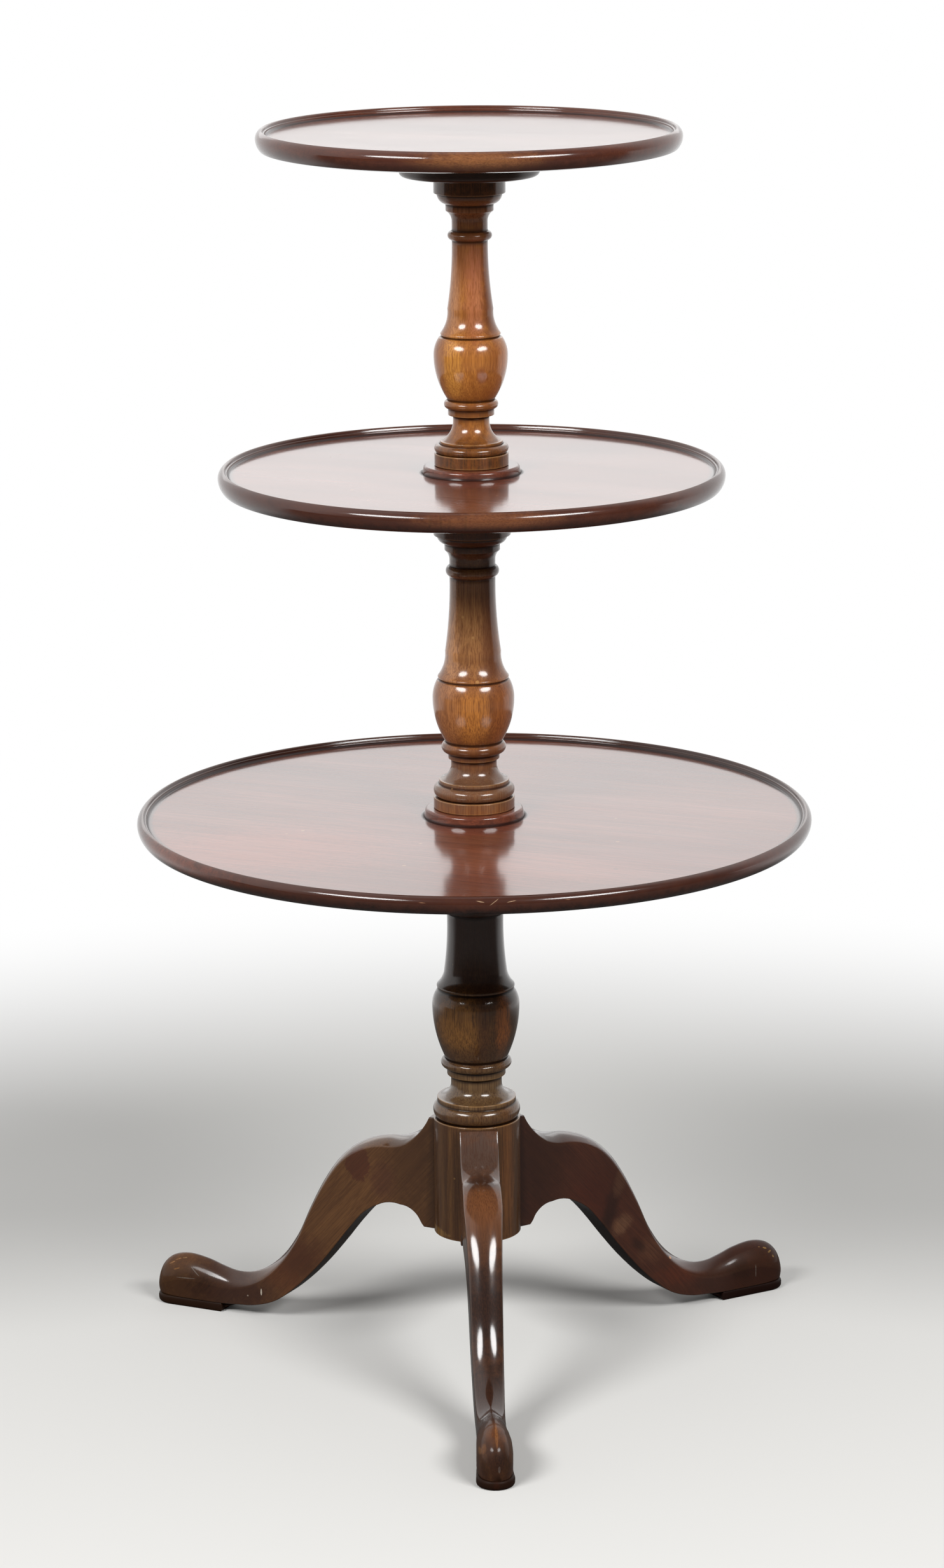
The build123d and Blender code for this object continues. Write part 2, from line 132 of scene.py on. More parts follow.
# Stations from the knee to the toe: shares of the sole, crown, width and rise, then the crown's roundness and the
# share of its softened edges
LEG_STATIONS = (
    (0.276, 0.593, 0.361, 0.818, 1.00, 0.15, 2.1, 0.05),
    (0.326, 0.545, 0.413, 0.751, 0.94, 0.15, 2.1, 0.06),
    (0.373, 0.466, 0.460, 0.651, 0.88, 0.145, 2.1, 0.06),
    (0.424, 0.367, 0.502, 0.533, 0.85, 0.14, 2.0, 0.05),
    (0.482, 0.262, 0.543, 0.403, 0.83, 0.15, 2.0, 0.05),
    (0.546, 0.165, 0.593, 0.294, 0.80, 0.165, 1.9, 0.05),
    (0.610, 0.091, 0.649, 0.218, 0.77, 0.20, 1.7, 0.06),
    (0.675, 0.055, 0.703, 0.181, 0.74, 0.25, 1.5, 0.08),
    (0.739, 0.043, 0.751, 0.173, 0.74, 0.30, 1.5, 0.11),
    (0.790, 0.0375, 0.796, 0.185, 0.78, 0.35, 1.6, 0.15),
    (0.842, 0.0375, 0.848, 0.205, 0.85, 0.39, 1.7, 0.18),
    (0.894, 0.0375, 0.905, 0.214, 0.90, 0.42, 1.8, 0.20),
    (0.933, 0.0375, 0.951, 0.199, 0.89, 0.42, 1.9, 0.20),
    (0.965, 0.0375, 0.981, 0.163, 0.78, 0.36, 2.0, 0.16),
    (0.985, 0.0375, 0.996, 0.113, 0.56, 0.24, 2.0, 0.10),
    (0.995, 0.0375, 0.999, 0.068, 0.28, 0.10, 2.0, 0.04),
)


def from_hex(code):
    """Linear colour of an sRGB hex value."""
    channels = [int(code[place:place + 2], 16) / 255 for place in (1, 3, 5)]
    return tuple(c / 12.92 if c <= 0.04045 else ((c + 0.055) / 1.055) ** 2.4 for c in channels)


def tone(label, note, code):
    """Colour property with its name, note and default."""
    return FloatVectorProperty(name=label, description=note, subtype="COLOR", min=0, max=1, default=from_hex(code))


class TableTones(bpy.types.PropertyGroup):
    bare: tone("Bare wood", "Wood that shows where the polish is chipped away", "#c9975c")
    iron: tone("Iron", "Blackened iron of the brace and screws", "#4a4643")


# Each wood has a main colour and a darker one for its grain
for key, label, light, dark in (
    ("upper", "Upper section", "#c27e3a", "#80481f"),
    ("middle", "Middle section", "#a86c38", "#643720"),
    ("pillar", "Pillar", "#6a4828", "#3a2114"),
    ("tray", "Trays", "#8e4c32", "#44211a"),
    ("leg_front", "Front leg", "#7a4c2c", "#44281a"),
    ("leg_left", "Left leg", "#785230", "#452a1a"),
    ("leg_right", "Right leg", "#522c1c", "#341b14"),
    ("block", "Bearing blocks", "#58351f", "#2e1a10"),
):
    TableTones.__annotations__[key] = tone(label, "Main colour of the " + label.lower(), light)
    TableTones.__annotations__[key + "_dark"] = tone(label + ", grain", "Darker grain of the " + label.lower(), dark)


class TableSizes(bpy.types.PropertyGroup):
    turned_sides: IntProperty(name="Turned sides", description="Sides round a turned section", min=24, default=160)
    tray_sides: IntProperty(name="Tray sides", description="Sides round a tray", min=24, default=320)
    turned_arris: FloatProperty(name="Turned arris", description="How far handling has softened turned edges, in mm",
                                min=0.05, max=2, default=0.5)
    leg_arris: FloatProperty(name="Leg arris", description="How far wear has softened a leg's edges, in mm",
                             min=0.1, max=4, default=1.2)
    slot_width: FloatProperty(name="Screw slot", description="Width of a screw's slot, in mm",
                              min=0.3, max=2, default=1.0)


class TableView(bpy.types.PropertyGroup):
    lens: FloatProperty(name="Lens", description="Focal length on a 36 mm tall sensor",
                        subtype="DISTANCE_CAMERA", default=113.185)
    distance: FloatProperty(name="Distance", description="From the column's axis to the camera over the floor",
                            subtype="DISTANCE", default=4.328)
    height: FloatProperty(name="Height", description="Camera above the floor", subtype="DISTANCE", default=1.618)
    azimuth: FloatProperty(name="Azimuth", description="Camera's place round the column from the front leg",
                           subtype="ANGLE", default=radians(-2.44))
    pan: FloatProperty(name="Pan", description="How far the camera looks right of the column",
                       subtype="ANGLE", default=radians(-0.025))
    pitch: FloatProperty(name="Pitch", description="How far the camera looks down", subtype="ANGLE",
                         default=radians(13.93))
    roll: FloatProperty(name="Roll", description="Camera's lean", subtype="ANGLE", default=radians(-0.46))
    floor: tone("Floor", "Colour of the studio floor", "#e4e3e0")


# Shapes

def traced(moves, closed, step):
    """Points along an outline of moves (x, y, bow); a bow is an arc's bulge to the right over its chord."""
    points = []
    ends = moves[1:] + moves[:1] if closed else moves[1:]
    for (x0, y0, _), (x1, y1, bow) in zip(moves, ends):
        chord = dist((x0, y0), (x1, y1))
        if chord < 1e-6:
            continue
        turn = 4 * atan(2 * bow)
        count = max(1, ceil(chord / step), ceil(abs(turn) / radians(6)))
        for place in range(count):
            share = place / count
            if bow:
                reach = chord / (2 * sin(turn / 2)) * cos(turn / 2)
                middle_x = (x0 + x1) / 2 - (y1 - y0) / chord * reach
                middle_y = (y0 + y1) / 2 + (x1 - x0) / chord * reach
                c, s = cos(turn * share), sin(turn * share)
                dx, dy = x0 - middle_x, y0 - middle_y
                points.append((middle_x + c * dx - s * dy, middle_y + s * dx + c * dy))
            else:
                points.append((x0 + share * (x1 - x0), y0 + share * (y1 - y0)))
    if not closed:
        points.append(tuple(moves[-1][:2]))
    return points


def turning(before, here, after):
    """Signed turn of an outline at a point, positive to the left."""
    first = atan2(here[1] - before[1], here[0] - before[0])
    second = atan2(after[1] - here[1], after[0] - here[0])
    return (second - first + pi) % (2 * pi) - pi


def eased(start, corner, end):
    """Five points of the curve that takes the place of a corner."""
    return [tuple((1 - share) ** 2 * a + 2 * share * (1 - share) * b + share ** 2 * c
                  for a, b, c in zip(start, corner, end)) for share in (0, 0.25, 0.5, 0.75, 1)]


def softened(points, soft):
    """Outline with its sharp corners rounded off by a length, or by most of a shorter side's half."""
    sharp, most, result = radians(20), 0.45, []
    for place, here in enumerate(points):
        before, after = points[place - 1], points[(place + 1) % len(points)]
        if here[0] < 1e-6 or abs(turning(before, here, after)) < sharp:
            result.append(here)
            continue
        back, on = (min(soft, dist(other, here) * most) / dist(other, here) for other in (before, after))
        start = [h + (b - h) * back for h, b in zip(here, before)]
        end = [h + (a - h) * on for h, a in zip(here, after)]
        result += eased(start, here, end)
    return result


def edge_shares(points, closed, reach):
    """How far each point lies on an arris, and how far in a hollow, from the outline's turn within a reach."""
    count, full = len(points), radians(75)
    turns = [turning(points[place - 1], points[place], points[(place + 1) % count]) for place in range(count)]
    if not closed:
        turns[0] = turns[-1] = 0
    shares = []
    for place in range(count):
        total = turns[place]
        for way in (-1, 1):
            gone, other = 0, place
            while gone < reach:
                step = (other + way) % count
                if not closed and abs(step - other) > 1:
                    break
                gone += dist(points[step], points[other])
                other = step
                total += turns[other] * max(0, 1 - gone / reach)
                if other == place:
                    break
        shares.append(max(-1, min(1, total / full)))
    return [max(0, share) for share in shares], [max(0, -share) for share in shares]


def store(mesh, name, values):
    """Keep a number for each vertex."""
    mesh.attributes.new(name, "FLOAT", "POINT").data.foreach_set("value", values)


def finish_mesh(mesh, sharp=40):
    """Smooth shading that breaks at sharp edges."""
    mesh.polygons.foreach_set("use_smooth", [True] * len(mesh.polygons))
    mesh.set_sharp_from_angle(angle=radians(sharp))
    mesh.update()


def turned(name, moves, sides, soft, closed=False, step=2.5, rim_from=inf):
    """Object turned round the column's axis from moves of (radius, height, bow), with a rim from a radius outward."""
    points = softened(traced(moves, closed, step), soft)
    arris, hollow = edge_shares(points, closed, ARRIS_REACH)[0], edge_shares(points, closed, HOLLOW_REACH)[1]
    verts, rings, arris_values, hollow_values = [], [], [], []
    for (radius, height), on_arris, in_hollow in zip(points, arris, hollow):
        first, ring_sides = len(verts), 1 if radius < 1e-6 else sides
        for side in range(ring_sides):
            angle = 2 * pi * side / sides
            verts.append((radius * cos(angle) * MM, radius * sin(angle) * MM, height * MM))
        rings.append([first + side % ring_sides for side in range(sides)])
        arris_values += [on_arris] * ring_sides
        hollow_values += [in_hollow] * ring_sides
    faces = []
    for lower, upper in zip(rings, rings[1:] + (rings[:1] if closed else [])):
        for side in range(sides):
            after = (side + 1) % sides
            faces.append(tuple(dict.fromkeys((lower[side], lower[after], upper[after], upper[side]))))
    mesh = bpy.data.meshes.new(name)
    mesh.from_pydata(verts, [], faces)
    store(mesh, "arris", arris_values)
    store(mesh, "hollow", hollow_values)
    store(mesh, "rim", [float(hypot(x, y) > rim_from * MM) for x, y, _ in verts])
    finish_mesh(mesh)
    return show(name, mesh)


def quads(foot, head, count):
    """Faces between two rings of vertices, from the first vertex of each."""
    return [(foot + side, foot + (side + 1) % count, head + (side + 1) % count, head + side) for side in range(count)]


def show(name, mesh):
    """Object with a mesh, in the scene."""
    piece = bpy.data.objects.new(name, mesh)
    bpy.context.scene.collection.objects.link(piece)
    return piece


def prism(name, corners, foot, top, places):
    """Upright prism of plan corners in millimetres, once for each turn in degrees."""
    mesh = bpy.data.meshes.new(name)
    verts, faces, count = [], [], len(corners)
    for place in places:
        first = len(verts)
        c, s = cos(radians(place)), sin(radians(place))
        for height in (foot, top):
            verts += [((c * x - s * y) * MM, (s * x + c * y) * MM, height * MM) for x, y in corners]
        faces.append(tuple(first + side for side in reversed(range(count))))
        faces.append(tuple(first + count + side for side in range(count)))
        faces += quads(first, first + count, count)
    mesh.from_pydata(verts, [], faces)
    mesh.update()
    return show(name, mesh)


def cut(piece, cutter):
    """Cut one object's shape out of another and take the cutter away."""
    modifier = piece.modifiers.new("cut", "BOOLEAN")
    modifier.operation = "DIFFERENCE"
    modifier.solver = "EXACT"
    modifier.object = cutter
    shaped = bpy.data.meshes.new_from_object(piece.evaluated_get(bpy.context.evaluated_depsgraph_get()))
    piece.modifiers.remove(modifier)
    piece.data = shaped
    bpy.data.objects.remove(cutter)
    finish_mesh(piece.data)


def level(node, end):
    """Height of a CAD node's foot (0) or top (1), in millimetres."""
    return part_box(node)[end].z / MM


def place_piece(piece, material, node, body):
    """Give a piece its finish and its body, and hide the CAD node that it stands for."""
    if not piece.data.materials:
        piece.data.materials.append(material)
    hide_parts(node)
    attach(piece, body)


def upright_bow(start, end):
    """Bow of an arc that stands upright at the end where it is widest or narrowest."""
    return tan(atan2(abs(end[0] - start[0]), abs(end[1] - start[1])) / 2) / 2


def level_bow(start, end):
    """Bow of an arc that starts level."""
    return tan(atan2(abs(end[1] - start[1]), abs(end[0] - start[0])) / 2) / 2


def section_moves(place, foot, top):
    """Outline of one turned section from its plinth to its capital."""
    plinth_top = foot + PLINTH_HEIGHTS[place]
    z = {name: plinth_top + shares[place] * (top - plinth_top) for name, shares in MOULDING_HEIGHTS.items()}
    r = {name: sizes[place] for name, sizes in SECTION_RADII.items()}
    for name, (leader, *shares) in MOULDING_RADII.items():
        r[name] = shares[place] * r[leader]
    worn, cove = 0.8, 2.4
    scotia, neck = (r["scotia"], z["fillet"]), (r["neck"], z["neck"])
    bulb_foot, bulb = (r["bulb_foot"], z["bulb_foot"]), (r["bulb"], z["bulb"])
    shoulder = (r["shoulder"], z["shoulder"])
    head_neck, head_cove = (r["shaft"], z["head_neck"]), (r["head_fillet"], z["head_cove"])
    ring_bow = 0.9 * (r["ring"] - r["band"]) / (z["bulb_foot"] - z["ring"])
    return [
        (r["plinth"] - worn, foot, 0),
        (r["plinth"], foot + worn, QUARTER),
        (r["plinth"], plinth_top - worn, 0),
        (r["plinth"] - worn, plinth_top, QUARTER),
        (r["fillet"], plinth_top, 0),
        (r["fillet"], z["torus"], (r["plinth"] - r["fillet"]) / (z["torus"] - plinth_top)),
        (r["fillet"], z["fillet"], 0),
        (*scotia, 0),
        (*neck, -upright_bow(scotia, neck)),
        (r["neck"], z["neck_top"], 0),
        (r["band"] - worn, z["band"], -0.15),
        (r["band"], z["band"] + worn, QUARTER),
        (r["band"], z["ring"], 0),
        (r["bulb_foot"], z["bulb_foot"], ring_bow),
        (*bulb, upright_bow(bulb_foot, bulb)),
        (*shoulder, upright_bow(shoulder, bulb)),
        (r["lip"] - worn, z["lip"], 0),
        (r["lip"], z["lip_top"], 0.3),
        (r["flare"], z["flare"], -0.09),
        (r["shaft"], z["shaft"], -0.02),
        (r["shaft"] + 0.9, z["shaft"] + cove, -0.15),
        (r["shaft"], z["bead"], (r["bead"] - r["shaft"] - 0.45) / (z["bead"] - z["shaft"] - cove)),
        (*head_neck, 0),
        (*head_cove, -upright_bow(head_neck, head_cove)),
        (r["head_fillet"], z["head_fillet"], 0),
        (r["ovolo"], z["ovolo"], 0.18),
        (r["cap"] - worn, z["ovolo"], 0),
        (r["cap"], z["ovolo"] + worn, QUARTER),
        (r["cap"], top - worn, 0),
        (r["cap"] - worn, top, QUARTER),
    ]


def tray_moves(foot, radius, rim_height, bore, collar_radius, collar_height):
    """Outline of a tray from its bore over the rim to the dish and the collar."""
    def at(inward, height):
        return radius - inward, foot + height * rim_height

    under, belly, widest, roll = at(21.6, 0), at(3.8, 0.12), at(0, 0.62), at(4.6, 1)
    dish = foot + rim_height - DISH_DEPTH
    groove_lip, groove_foot, rim_side = at(6.6, 0.91), at(7.0, 0.86), at(8.3, 0.83)
    moves = [
        (bore, foot, 0),
        (*under, 0),
        (*belly, level_bow(under, belly)),
        (*widest, upright_bow(belly, widest)),
        (*roll, upright_bow(widest, roll)),
        (*groove_lip, 0.16),
        (*groove_foot, 0),
        (*rim_side, 0.3),
        (radius - RIM_WIDTH, dish, -0.2),
    ]
    if not collar_height:
        return moves + [(0, dish, 0)]
    collar_top = dish + collar_height
    side, brim = (collar_radius - 0.4, collar_top - 2.8), (collar_radius - 2.4, collar_top)
    return moves + [(collar_radius + 0.8, dish, 0), (*side, 0), (*brim, upright_bow(side, brim)), (bore, collar_top, 0)]


# Marks seen on the table: place and three radii in millimetres, tilt in degrees, colour, strength and softness. Some
# are painted shade and painted light, noted where they stand. A leg's marks have their places as if the leg pointed
# along +X.

COLUMN_MARKS = {
    "upper": (
        # Capital darkened all round: painted shade under the top tray
        (0, 0, 1090, 60, 60, 18, 0, "#1c0f0b", 0.9, 0.9),
        # Neck lightened all round: painted light that offsets the top tray's shade on it
        (0, 0, 1062, 60, 60, 13, 0, "#c07c50", 0.8, 1.0),
        (0, 0, 1044, 60, 60, 8, 0, "#6e4428", 0.7, 1.0),
        (0, 0, 1022, 60, 60, 22, 0, "#7a4630", 0.6, 1.0),
        (4, -20, 990, 9, 14, 54, 0, "#a8644a", 0.6, 0.8),
        (17, -10, 985, 7, 16, 70, 0, "#5c3020", 0.8, 0.9),
        (-16, -10, 985, 6, 16, 70, 0, "#c48858", 0.6, 0.9),
        (-18, -28, 925, 9, 20, 34, 0, "#e09c44", 0.6, 0.7),
        (-33, -14, 915, 9, 20, 34, 0, "#9a5c26", 0.6, 0.7),
        (26, -24, 912, 12, 20, 44, 0, "#a86434", 0.6, 0.9),
        (9, -31, 921, 5, 8, 8, 0, "#7c3c20", 0.7, 0.7),
        (16, -26, 901, 16, 16, 12, 0, "#844420", 0.5, 1.0),
        (0, 0, 888, 60, 60, 11, 0, "#53301a", 0.75, 0.9),
        (0, 0, 846, 60, 60, 20, 0, "#241a13", 0.9, 0.9),
    ),
    "middle": (
        (0, 0, 764, 60, 60, 40, 0, "#29130c", 0.85, 0.9),
        (-2, -20, 700, 22, 16, 54, 0, "#a8784a", 0.8, 1.0),
        (-20, -14, 690, 7, 16, 70, 0, "#cc9260", 0.8, 0.8),
        (-3, -36, 612, 15, 20, 26, 0, "#c8823a", 0.6, 0.8),
        (-26, -26, 610, 12, 20, 36, 0, "#b47848", 0.6, 0.8),
        (14, -16, 680, 8, 14, 60, 0, "#5a3020", 0.6, 0.9),
        (26, -26, 605, 12, 20, 40, 0, "#9c5a2e", 0.6, 0.8),
        (0, 0, 576, 60, 60, 10, 0, "#4c2c18", 0.75, 0.9),
        (0, 0, 545, 60, 60, 22, 0, "#66503e", 0.8, 0.9),
    ),
    "pillar": (
        (0, 0, 430, 60, 60, 80, 0, "#3a1a10", 0.85, 1.0),
        (-20, -36, 322, 26, 30, 34, 0, "#a87238", 0.8, 0.8),
        (24, -33, 322, 7, 20, 40, 0, "#a8622e", 0.7, 0.8),
        (5, -38, 322, 6, 12, 40, 0, "#4a2a1c", 0.6, 0.9),
        (0, 0, 296, 60, 60, 12, 0, "#4e3420", 0.7, 1.0),
        (0, 0, 262, 60, 60, 24, 0, "#806442", 0.7, 1.0),
        (0, 0, 180, 60, 60, 56, 0, "#3c2818", 0.6, 0.6),
        (26, -26, 180, 7, 12, 70, 0, "#7a4c28", 0.7, 0.7),
        (-26, -28, 180, 3, 12, 70, 0, "#6c4a2a", 0.6, 0.6),
        (-34, -20, 180, 3, 12, 70, 0, "#6c4a2a", 0.5, 0.6),
        (-38, 0, 124, 12, 40, 5, 0, "#a07840", 0.5, 0.3),
    ),
}
TRAY_MARKS = {
    "lower": (
        (114, -198, 515.5, 2.2, 3, 3, 0, "#1c0d08", 0.9, 0.1),
        # Lower half of the rim darkened all round: painted shade on its downward face
        (0, 0, 499, 1200, 1200, 12, 0, "#120906", 0.9, 0.6),
        (-190, -110, 515, 110, 80, 9, 0, "#a2553a", 0.6, 1.0),
        (60, -190, 515, 90, 50, 9, 0, "#9c543a", 0.5, 1.0),
        (180, -150, 515, 90, 60, 9, 0, "#6a3020", 0.5, 1.0),
        (-58, -303, 516, 3.2, 8, 0.35, 4, "#b08262", 0.5, 0.6),
        (-8, -303, 517.2, 3.4, 6, 0.4, 10, "#d2b08c", 0.6, 0.6),
        (3, -303, 516.5, 4.6, 6, 0.3, -35, "#c8a684", 0.55, 0.6),
        (18, -303, 517, 3.8, 6, 0.35, -10, "#c8a684", 0.55, 0.6),
        (66, -297, 516, 2.6, 8, 0.4, 4, "#b08262", 0.5, 0.6),
        (0, 0, 518, 48, 48, 8, 0, "#3a2119", 0.6, 0.5),
    ),
    "middle": (
        (20, -50, 830.6, 16, 2.2, 3, 0, "#23110b", 0.8, 0.2),
        (30, -62, 830.6, 12, 1.6, 3, 0, "#23110b", 0.7, 0.2),
        (-45, -226, 828, 1.6, 9, 7, 6, "#1c0d08", 0.8, 0.3),
        (-36, -226, 829, 1.2, 9, 7, -4, "#1c0d08", 0.8, 0.3),
        (-29, -226, 827, 1.5, 9, 6, 3, "#1c0d08", 0.7, 0.3),
        (-15, -226, 828, 1.3, 9, 8, 5, "#1c0d08", 0.7, 0.3),
        # Lighter golden band on the front of the rim's upper face: painted light where the lamps fall
        (20, -230, 829, 110, 14, 8, 0, "#8e5834", 0.5, 1.0),
        # Lower half of the rim darkened all round: painted shade on its downward face
        (0, 0, 814, 1200, 1200, 10, 0, "#20100a", 0.8, 0.6),
        (0, 0, 833, 48, 48, 8, 0, "#3a2119", 0.6, 0.5),
    ),
    "top": (
        # Lighter golden band on the front of the rim's upper face: painted light where the lamps fall
        (0, -192, 1129, 90, 14, 9, 0, "#b87c48", 0.4, 1.0),
        # Lower half of the rim darkened all round: painted shade on its downward face
        (0, 0, 1115, 1200, 1200, 12, 0, "#241009", 0.6, 0.6),
    ),
}
LEG_MARKS = {
    "leg_front": (
        (56, 0, 206, 30, 30, 30, 0, "#4a3d37", 0.8, 0.9),
        (122, 0, 186, 30, 30, 22, 0, "#75482b", 0.6, 1.0),
        (94, 0, 200, 14, 30, 10, 0, "#22120d", 0.8, 1.0),
        (180, 0, 108, 40, 30, 56, 0, "#1a0f0d", 0.9, 1.0),
        (230, 0, 48, 60, 30, 30, 0, "#170d0b", 0.85, 1.0),
        (322, 0, 46, 20, 9, 8, 0, "#7e4e30", 0.8, 0.8),
        (324, 1, 44, 18, 1.3, 9, 0, "#b87844", 0.8, 0.5),
        (322, -8, 46, 12, 4, 6, 0, "#8a5a3a", 0.6, 0.9),
        (338, 4, 26, 8, 8, 9, 0, "#140b09", 0.7, 0.9),
        (331, -11, 35, 6, 3, 6, 0, "#a2683a", 0.7, 0.4),
        (325, -13, 31, 7, 3, 3, 0, "#b07a48", 0.7, 0.3),
        (326, 9, 42, 7, 3, 4, 0, "#8a5228", 0.7, 0.4),
        (341, 0, 22, 8, 20, 12, 0, "#1d120e", 0.6, 0.8),
        (342, 2.5, 19, 3, 1.2, 3.5, 0, "#8c8078", 0.7, 0.3),
        (343, 0, 4, 5, 2.6, 5, 0, "#a8502c", 0.7, 0.3),
    ),
    "leg_right": (
        (60, -17, 190, 30, 40, 60, 0, "#2a180f", 0.6, 1.0),
        (118, -17, 128, 26, 20, 30, 20, "#4c2013", 0.6, 1.0),
        (139, -17, 120, 8, 20, 34, 15, "#1e0f0a", 0.8, 0.9),
        (151, -17, 100, 11, 20, 9, -30, "#6c4a34", 0.8, 0.8),
        (148, -17, 142, 7, 20, 13, 15, "#62422e", 0.8, 0.8),
        (184, -17, 67, 14, 20, 12, 30, "#5a3826", 0.7, 0.9),
        (170, -17, 76, 10, 20, 5, 40, "#20110b", 0.6, 0.9),
        (220, -17, 36, 26, 20, 9, 10, "#5a2a18", 0.7, 0.9),
        (138, -17, 150, 24, 20, 30, 0, "#3c1d13", 0.5, 1.0),
        (208.6, -14, 55.4, 2.4, 6, 1.2, 30, "#d08a48", 0.9, 0.1),
        (321, -14, 42, 3.4, 8, 1.0, 20, "#d8a860", 0.9, 0.1),
        (326, -14, 38, 2.6, 8, 0.9, -10, "#d8a860", 0.9, 0.1),
        (315, -14, 44, 3.0, 8, 0.8, 10, "#d09a58", 0.8, 0.1),
        (329, -13, 33, 1.6, 8, 1.0, 50, "#d8a860", 0.8, 0.1),
        (306, -15, 24, 0.5, 6, 7, 0, "#b8aca0", 0.8, 0.1),
    ),
    "leg_left": (
        (190, 17, 66, 40, 20, 26, 0, "#482618", 0.8, 1.0),
        (252, 17, 26, 44, 20, 26, 0, "#38201a", 0.85, 1.0),
        (116, 17, 172, 14, 20, 17, 0, "#48201a", 0.65, 0.15),
        (60, 17, 190, 30, 40, 60, 0, "#3a2416", 0.6, 1.0),
        (90, 17, 160, 12, 20, 18, 0, "#4e2d22", 0.6, 0.8),
        (200, 17, 44, 34, 20, 14, -20, "#5c341f", 0.5, 1.0),
        (318, 8, 44, 20, 16, 9, 15, "#7e5028", 0.7, 0.8),
        (319, 14, 44, 6, 8, 0.9, 20, "#e0a468", 0.9, 0.1),
        (325, 14, 40, 5, 8, 0.8, 30, "#e0a468", 0.8, 0.1),
        (312, 14, 46, 5, 8, 1.0, 10, "#e8b478", 0.9, 0.1),
        (318, 15, 36, 4, 8, 0.7, 20, "#d8944e", 0.8, 0.1),
        (298, 15, 36, 0.5, 6, 8, 55, "#c8c0b4", 0.8, 0.1),
        (306, 15, 29, 11, 6, 0.5, 4, "#c8c0b4", 0.7, 0.1),
        (225, 15, 27, 0.9, 6, 3.4, 0, "#e8dcc8", 0.9, 0.1),
        (240, 15, 21, 1.0, 6, 0.9, 0, "#d8ccb8", 0.8, 0.1),
    ),
}
FOOT_MARKS = (
    (305, 0, 18, 64, 40, 36, 0, "#2a1912", 0.75, 0.9),
    (262, 0, 34, 34, 30, 24, 0, "#3a2117", 0.6, 1.0),
    (290, 0, 26, 16, 30, 10, 20, "#1f130e", 0.5, 0.7),
)


# Materials

def add_node(tree, kind, inputs=(), out=None, **settings):
    """Output of a new node of a kind with its settings.

    The inputs are in order or by name, each a value or the socket that it takes. A MapRange's are its value, from
    min, from max, to min and to max.
    """
    node = tree.nodes.new("ShaderNode" + kind)
    for name, value in settings.items():
        setattr(node, name, value)
    for name, value in inputs.items() if isinstance(inputs, dict) else enumerate(inputs):
        if isinstance(value, bpy.types.NodeSocket):
            tree.links.new(value, node.inputs[name])
        else:
            node.inputs[name].default_value = value
    return node.outputs[out] if out else next((socket for socket in node.outputs if socket.enabled), None)


def rgba(colour):
    """Colour with full alpha."""
    return (*colour, 1.0)


def new_material(name):
    """Empty node material, and the function that adds its nodes."""
    material = bpy.data.materials.new(name)
    material.use_nodes = True
    material.node_tree.nodes.clear()
    return material, partial(add_node, material.node_tree)


